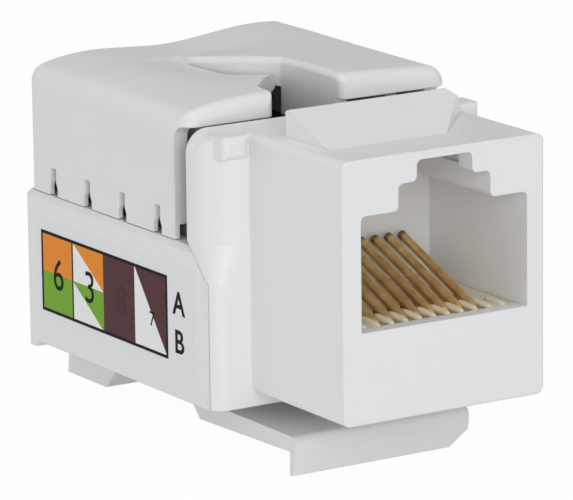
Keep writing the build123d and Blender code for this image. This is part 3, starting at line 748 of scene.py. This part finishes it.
@dataclass
class SpringContacts:
    """The eight gold wires that spring up into the plug opening. Sizes in millimetres."""

    count: int = 8
    pitch: float = 1.016
    diameter: float = 0.6
    bend: float = 0.9
    lead_rows: tuple[float, float] = (13.7, 15.0)
    tail_height: float = 1.45
    lead_height: float = 3.95
    tip_y: float = 10.05
    tip_height: float = 8.6
    angle_degrees: float = 21.3
    round_sides: int = 20
    bend_steps: int = 12

    def path(self, lead_y: float) -> list[Vector]:
        """Gives the corners of one wire's line.

        Args:
            lead_y: where its lead goes down into the board.

        Returns:
            The corners in metres, from the lead's end to the tip.
        """
        rise = self.tip_height - self.lead_height
        apex = self.tip_y - rise / math.tan(math.radians(self.angle_degrees))
        corners = (
            (lead_y, self.tail_height),
            (lead_y, self.lead_height),
            (apex, self.lead_height),
            (self.tip_y, self.tip_height),
        )
        return [Vector((0.0, y * MM, z * MM)) for y, z in corners]

    def tree(self) -> BarRow:
        """Builds the node tree of a row of wires, which rounds the line's corners.

        Returns:
            The row's tree.
        """
        wires = BarRow("spring_wire_row", {"Bend Radius": Kind.NUMBER, "Bend Steps": Kind.WHOLE})
        rounded = wires.graph.add("GeometryNodeFilletCurve", mode="POLY")
        wires.graph.fill(rounded, Curve=wires.line, Radius=wires.given["Bend Radius"],
                         Count=wires.given["Bend Steps"])
        wires.close(rounded.outputs[0])
        return wires

    def build(self, wardrobe: Wardrobe) -> list[bpy.types.Object]:
        """Makes the wires in two rows, by where their leads go down.

        Args:
            wardrobe: gives the wires' finish.

        Returns:
            The two pieces.
        """
        wires = self.tree()
        first = -(self.count - 1) / 2 * self.pitch * MM
        pieces = []
        for row, lead_y in enumerate(self.lead_rows):
            piece = wires.piece(f"spring_wires_row_{row + 1}", self.path(lead_y), {
                "Count": self.count // len(self.lead_rows),
                "Start": (first + row * self.pitch * MM, 0.0, 0.0),
                "Step": (len(self.lead_rows) * self.pitch * MM, 0.0, 0.0),
                "Radius": self.diameter / 2 * MM,
                "Sides": self.round_sides,
                "Bend Radius": self.bend * MM,
                "Bend Steps": self.bend_steps,
                "Finish": wardrobe.material(GOLD),
            })
            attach(piece, Body.JACK.value)
            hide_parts(*[f"contact_{n}" for n in range(row + 1, self.count + 1, len(self.lead_rows))])
            pieces.append(piece)
        return pieces


@dataclass
class CombTeeth:
    """The comb's rounded teeth, which part the wires at the front. Sizes in millimetres."""

    count: int = 11
    pitch: float = 1.016
    thickness: float = 0.44
    front: Point2 = (1.0, 5.62)
    back: Point2 = (3.15, 5.76)
    squareness: float = 5.0
    end_share: float = 0.12
    round_sides: int = 14
    steps: int = 17

    def tree(self) -> BarRow:
        """Builds the node tree of the row of teeth, whose bars have round ends.

        Returns:
            The row's tree.
        """
        teeth = BarRow("comb_tooth_row", {
            "Rings": Kind.WHOLE, "Squareness": Kind.NUMBER, "End Share": Kind.NUMBER,
        })
        graph, given = teeth.graph, teeth.given
        rings = graph.add("GeometryNodeResampleCurve")
        graph.fill(rings, Curve=teeth.line, Count=given["Rings"])
        along = graph.add("GeometryNodeSplineParameter").outputs["Factor"]
        from_middle = graph.math("ABSOLUTE", graph.spread(along, -1.0, 1.0))
        lost = graph.math("POWER", from_middle, given["Squareness"])
        fullness = graph.math("SQRT", graph.math("SUBTRACT", 1.0, lost))
        teeth.close(rings.outputs[0], Scale=graph.math("MAXIMUM", fullness, given["End Share"]))
        return teeth

    def build(self, wardrobe: Wardrobe) -> list[bpy.types.Object]:
        """Makes the row of teeth.

        Args:
            wardrobe: gives the comb's finish.

        Returns:
            The one piece.
        """
        ends = [Vector((0.0, y * MM, z * MM)) for y, z in (self.front, self.back)]
        piece = self.tree().piece("comb_teeth", ends, {
            "Count": self.count,
            "Start": (-(self.count - 1) / 2 * self.pitch * MM, 0.0, 0.0),
            "Step": (self.pitch * MM, 0.0, 0.0),
            "Radius": self.thickness / 2 * MM,
            "Sides": self.round_sides,
            "Rings": self.steps,
            "Squareness": self.squareness,
            "End Share": self.end_share,
            "Finish": wardrobe.material(COMB_PLASTIC),
        })
        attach(piece, Body.JACK.value)
        return [piece]


@dataclass
class PortAssembly:
    """The port with its comb and the latch below it."""

    housing: str = "front_housing"
    comb: str = "contact_carrier"
    latch: str = "latch_arm"

    def build(self, wardrobe: Wardrobe) -> list[bpy.types.Object]:
        """Puts the plastics on the port's solids.

        Args:
            wardrobe: makes the plastics' materials.

        Returns:
            The solids.
        """
        return wardrobe.dress({
            self.housing: WHITE_PLASTIC,
            self.latch: WHITE_PLASTIC,
            self.comb: COMB_PLASTIC,
        })


@dataclass
class RearAssembly:
    """The rear body with its board and terminals, and the wiring cap over them."""

    shell: str = "rear_body"
    cap: str = "cap"
    block: str = "terminal_block"
    board: str = "circuit_board"
    terminals: tuple[str, ...] = tuple(f"terminal_{number}" for number in range(1, 9))

    def build(self, wardrobe: Wardrobe) -> list[bpy.types.Object]:
        """Puts plastic, lacquer and tin on the rear solids.

        Args:
            wardrobe: makes their materials.

        Returns:
            The solids.
        """
        return wardrobe.dress({
            self.shell: WHITE_PLASTIC,
            self.cap: CAP_PLASTIC,
            self.block: BLOCK_PLASTIC,
            self.board: BOARD_LACQUER,
            **dict.fromkeys(self.terminals, TIN),
        })


@dataclass(frozen=True)
class Figure:
    """One printed figure or letter, with its size and middle in millimetres along Y and Z."""

    name: str
    text: str
    size: float
    y: float
    z: float
    ink: Ink = Ink.BLACK
    weight: float = 0.0


@dataclass(frozen=True)
class CellFigure:
    """The figure in one cell: its share of the full size, and its shift from the cell's middle."""

    text: str
    share: float
    shift: Point2
    ink: Ink = Ink.BLACK


@dataclass
class WiringLabel:
    """The sticker on the left side and its print. Sizes in millimetres, along Y and Z."""

    node: str = "wiring_label"
    side: float = -10.0
    sheet: float = 0.02
    layer: float = 0.01
    corner: float = 0.3
    block_front: float = 15.93
    block_back: float = 31.4
    block_bottom: float = 1.49
    block_top: float = 6.62
    outline: float = 0.2
    divider: float = 0.16
    digit_size: float = 2.95
    digits: tuple[CellFigure, ...] = (
        CellFigure("6", 1.0, (-0.1, -0.1)),
        CellFigure("3", 1.0, (-0.2, -0.15)),
        CellFigure("8", 0.9, (-0.2, -0.15), Ink.FAINT),
        CellFigure("7", 0.46, (-0.15, -0.55)),
    )
    letters: tuple[str, str] = ("A", "B")
    letter_size: float = 2.08
    letter_y: float = 14.48
    letter_heights: tuple[float, float] = (5.1, 2.65)
    letter_weight: float = 0.03
    corner_steps: int = 6

    @property
    def face(self) -> float:
        """Gives the X of the sheet's outer face."""
        return self.side - self.sheet

    @property
    def cell(self) -> float:
        """Gives the width of one cell."""
        return (self.block_back - self.block_front) / len(self.digits)

    @property
    def middle(self) -> float:
        """Gives the height of the block's middle."""
        return (self.block_bottom + self.block_top) / 2

    def rounded(self, low: Point2, high: Point2, radius: float) -> list[Point2]:
        """Gives a rectangle with rounded corners.

        Args:
            low: its lowest corner.
            high: its highest corner.
            radius: the corners' radius.

        Returns:
            The outline's points.
        """
        centres = (
            (high[0] - radius, high[1] - radius),
            (low[0] + radius, high[1] - radius),
            (low[0] + radius, low[1] + radius),
            (high[0] - radius, low[1] + radius),
        )
        points = []
        for quarter, (cy, cz) in enumerate(centres):
            for step in range(self.corner_steps + 1):
                turn = math.pi / 2 * (quarter + step / self.corner_steps)
                points.append((cy + radius * math.cos(turn), cz + radius * math.sin(turn)))
        return points

    def finish_print(self, piece: bpy.types.Object, ink: Ink, wardrobe: Wardrobe) -> bpy.types.Object:
        """Gives a print piece its ink and its ride.

        Args:
            piece: the piece.
            ink: its ink.
            wardrobe: makes the ink's material.

        Returns:
            The same piece.
        """
        piece.data.materials.clear()
        piece.data.materials.append(wardrobe.material(ink.value))
        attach(piece, Body.JACK.value)
        return piece

    def sticker(self, wardrobe: Wardrobe) -> bpy.types.Object:
        """Makes the bare sticker, which stands for the label's solid.

        Args:
            wardrobe: makes the face's material.

        Returns:
            The sticker.
        """
        low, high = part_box(self.node)
        build = bmesh.new()
        outline = self.rounded((low.y / MM, low.z / MM), (high.y / MM, high.z / MM), self.corner)
        plate(build, outline, self.side, self.face)
        piece = self.finish_print(closed_mesh("label_sheet", build), Ink.FACE, wardrobe)
        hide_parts(self.node)
        return piece

    def fields(self) -> dict[Ink, list[list[Point2]]]:
        """Lays out the fields of colour, from the rear cell to the front one.

        Returns:
            The outlines of each ink's fields.
        """
        edges = [self.block_back - self.cell * n for n in range(len(self.digits) + 1)]
        low, middle, high = self.block_bottom, self.middle, self.block_top

        def box(cell: int, bottom: float, top: float) -> list[Point2]:
            """Gives a whole cell between two heights."""
            rear, front = edges[cell], edges[cell + 1]
            return [(rear, bottom), (front, bottom), (front, top), (rear, top)]

        def upper(cell: int, bottom: float, top: float) -> list[Point2]:
            """Gives the half of a cell above its diagonal."""
            return [(edges[cell], top), (edges[cell + 1], bottom), (edges[cell + 1], top)]

        def lower(cell: int, bottom: float, top: float) -> list[Point2]:
            """Gives the half of a cell below its diagonal."""
            return [(edges[cell], top), (edges[cell], bottom), (edges[cell + 1], bottom)]

        return {
            Ink.ORANGE: [box(0, middle, high), upper(1, middle, high)],
            Ink.GREEN: [box(0, low, middle), upper(1, low, middle)],
            Ink.WHITE: [lower(1, middle, high), lower(1, low, middle), lower(3, low, high)],
            Ink.BROWN: [box(2, low, high), upper(3, low, high)],
        }

    def print_fields(self, wardrobe: Wardrobe) -> list[bpy.types.Object]:
        """Makes one thin piece for each colour.

        Args:
            wardrobe: makes the inks' materials.

        Returns:
            The pieces.
        """
        pieces = []
        for ink, outlines in self.fields().items():
            build = bmesh.new()
            for outline in outlines:
                plate(build, outline, self.face, self.face - self.layer)
            field = closed_mesh(f"print_{ink.name.lower()}", build)
            pieces.append(self.finish_print(field, ink, wardrobe))
        return pieces

    def print_lines(self, wardrobe: Wardrobe) -> bpy.types.Object:
        """Makes the black outline and the divider in front of the rear cell.

        Args:
            wardrobe: makes the ink's material.

        Returns:
            The lines as one piece.
        """
        half = self.outline / 2
        front, back, low, high = self.block_front, self.block_back, self.block_bottom, self.block_top
        divide = back - self.cell
        bars = (
            (front - half, back + half, high - half, high + half),
            (front - half, back + half, low - half, low + half),
            (front - half, front + half, low + half, high - half),
            (back - half, back + half, low + half, high - half),
            (divide - self.divider / 2, divide + self.divider / 2, low + half, high - half),
        )
        build = bmesh.new()
        for y0, y1, z0, z1 in bars:
            plate(build, [(y0, z0), (y1, z0), (y1, z1), (y0, z1)], self.face, self.face - 2 * self.layer)
        return self.finish_print(closed_mesh("print_lines", build), Ink.BLACK, wardrobe)

    def glyph(self, figure: Figure) -> bpy.types.Object:
        """Makes one printed figure or letter.

        Args:
            figure: what it says, and where.

        Returns:
            The piece as a mesh at the origin.
        """
        curve = bpy.data.curves.new(figure.name, "FONT")
        curve.body = figure.text
        curve.size = figure.size
        curve.align_x = "CENTER"
        curve.align_y = "CENTER"
        curve.extrude = self.layer
        curve.offset = figure.weight
        letter = placed(figure.name, curve)
        mesh = worked_out(letter)
        bpy.data.objects.remove(letter)
        # The text runs towards the front, stands up along Z and faces out to the left.
        place = self.face - self.layer
        turn = Matrix(((0, 0, -1, place), (-1, 0, 0, figure.y), (0, 1, 0, figure.z), (0, 0, 0, 1)))
        mesh.transform(Matrix.Scale(MM, 4) @ turn)
        mesh.name = figure.name
        return placed(figure.name, mesh)

    def figures(self) -> list[Figure]:
        """Lays out the wire numbers, from the rear cell to the front one, and the two row letters.

        Returns:
            The figures and letters.
        """
        numbers = [
            Figure(f"print_figure_{digit.text}", digit.text, self.digit_size * digit.share,
                   self.block_back - self.cell * (n + 0.5) + digit.shift[0], self.middle + digit.shift[1],
                   digit.ink)
            for n, digit in enumerate(self.digits)
        ]
        letters = [
            Figure(f"print_letter_{text.lower()}", text, self.letter_size, self.letter_y, height,
                   weight=self.letter_weight)
            for text, height in zip(self.letters, self.letter_heights)
        ]
        return numbers + letters

    def build(self, wardrobe: Wardrobe) -> list[bpy.types.Object]:
        """Makes the sticker and everything printed on it.

        Args:
            wardrobe: makes the materials.

        Returns:
            The pieces.
        """
        pieces = [self.sticker(wardrobe), *self.print_fields(wardrobe), self.print_lines(wardrobe)]
        for figure in self.figures():
            pieces.append(self.finish_print(self.glyph(figure), figure.ink, wardrobe))
        return pieces


@dataclass(frozen=True)
class SoftLamp:
    """A large soft lamp that points at the jack. Place in millimetres, width in metres."""

    name: str
    place: Point3
    watts: float
    width: float = 0.45

    def build(self, aim: Vector) -> None:
        """Makes the lamp.

        Args:
            aim: the point that it shines at.
        """
        data = bpy.data.lights.new(self.name, "AREA")
        data.shape = "DISK"
        data.size = self.width
        data.energy = self.watts
        lamp = placed(self.name, data)
        lamp.location = Vector(self.place) * MM
        lamp.rotation_euler = (aim - lamp.location).to_track_quat("-Z", "Y").to_euler()


@dataclass
class Studio:
    """Floor, light and camera. Places in millimetres."""

    eye: Point3 = (-162.44, -238.88, 78.41)
    aim: Point3 = (-1.137, 16.017, 7.081)
    roll_degrees: float = -0.696
    lens: float = 310.3
    sensor: float = 36.0
    near_clip: float = 10.0
    floor_gap: float = 0.05
    floor_half: float = 3000.0
    floor_tint: Colour = (0.9, 0.9, 0.9)
    floor_roughness: float = 0.9
    floor_glow: float = 0.97
    sky: float = 0.276
    lamps: tuple[SoftLamp, ...] = (
        SoftLamp("front_softbox", (-200.0, -540.0, 190.0), watts=1.2),
        SoftLamp("right_softbox", (280.0, -480.0, 110.0), watts=0.24),
        SoftLamp("left_softbox", (-430.0, -380.0, 120.0), watts=0.48),
        SoftLamp("back_softbox", (-430.0, 380.0, 150.0), watts=0.48),
        SoftLamp("top_softbox", (0.0, 0.0, 600.0), watts=1.2),
    )

    def _aimed(self) -> Vector:
        """Gives the point that camera and lamps look at, in metres."""
        return Vector(self.aim) * MM

    def floor_material(self) -> bpy.types.Material:
        """Makes the floor's finish: pale from above, with the jack's shadow, and clear from below.

        Returns:
            The material.
        """
        material, graph, shader = surface("pale_floor")
        graph.fill(shader, Base_Color=(*self.floor_tint, 1.0), Roughness=self.floor_roughness)
        rays = graph.add("ShaderNodeLightPath")
        seen = graph.math("MAXIMUM", rays.outputs["Is Camera Ray"], rays.outputs["Is Glossy Ray"])
        glow = graph.add("ShaderNodeEmission")
        lit = graph.mixed(graph.math("MULTIPLY", seen, self.floor_glow), shader.outputs[0], glow.outputs[0])
        under = graph.add("ShaderNodeNewGeometry").outputs["Backfacing"]
        clear = graph.add("ShaderNodeBsdfTransparent")
        output = graph.tree.nodes["Material Output"]
        graph.join(graph.mixed(under, lit, clear.outputs[0]), output.inputs[0])
        return material

    def floor(self, lowest: float) -> None:
        """Makes a pale floor that shows a faint shadow and hides nothing from below.

        Args:
            lowest: the jack's lowest height in metres.
        """
        half, height = self.floor_half * MM, lowest - self.floor_gap * MM
        build = bmesh.new()
        corners = ((-half, -half), (half, -half), (half, half), (-half, half))
        build.faces.new([build.verts.new((x, y, height)) for x, y in corners])
        floor = closed_mesh("pale_floor", build)
        floor.data.materials.append(self.floor_material())

    def world(self) -> None:
        """Sets a plain white surround that lights the jack softly."""
        world = bpy.data.worlds.new("studio_surround")
        world.use_nodes = True
        bpy.context.scene.world = world
        graph = Graph(world.node_tree)
        rays = graph.add("ShaderNodeLightPath")
        seen = graph.math("MAXIMUM", rays.outputs["Is Camera Ray"], rays.outputs["Is Transmission Ray"])
        background = world.node_tree.nodes["Background"]
        background.inputs["Color"].default_value = (1.0, 1.0, 1.0, 1.0)
        graph.join(graph.spread(seen, self.sky, 1.0), background.inputs["Strength"])

    def camera(self) -> None:
        """Makes the camera at the photograph's place."""
        data = bpy.data.cameras.new("view")
        data.lens = self.lens
        data.sensor_width = self.sensor
        data.clip_start = self.near_clip * MM
        camera = placed("view", data)
        camera.location = Vector(self.eye) * MM
        look = (self._aimed() - camera.location).to_track_quat("-Z", "Y").to_matrix().to_4x4()
        turned = look @ Matrix.Rotation(math.radians(self.roll_degrees), 4, "Z")
        camera.rotation_euler = turned.to_euler()
        bpy.context.scene.camera = camera

    def build(self, lowest: float) -> None:
        """Sets up the whole studio round the jack.

        Args:
            lowest: the jack's lowest height in metres.
        """
        self.floor(lowest)
        self.world()
        for lamp in self.lamps:
            lamp.build(self._aimed())
        self.camera()
        bpy.context.scene.view_settings.view_transform = "Standard"


def main() -> None:
    """Builds and dresses the jack, reports each piece, and sets up the studio."""
    logging.basicConfig(level=logging.INFO, format="%(message)s")
    wardrobe = Wardrobe()
    for assembly in (PortAssembly(), RearAssembly(), SpringContacts(), CombTeeth(), WiringLabel()):
        for piece in assembly.build(wardrobe):
            LOG.info("%s in %s", piece.name, piece.material_slots[0].name)
    Studio().build(CAD_BOX[0].z)


if __name__ == "__main__":
    main()
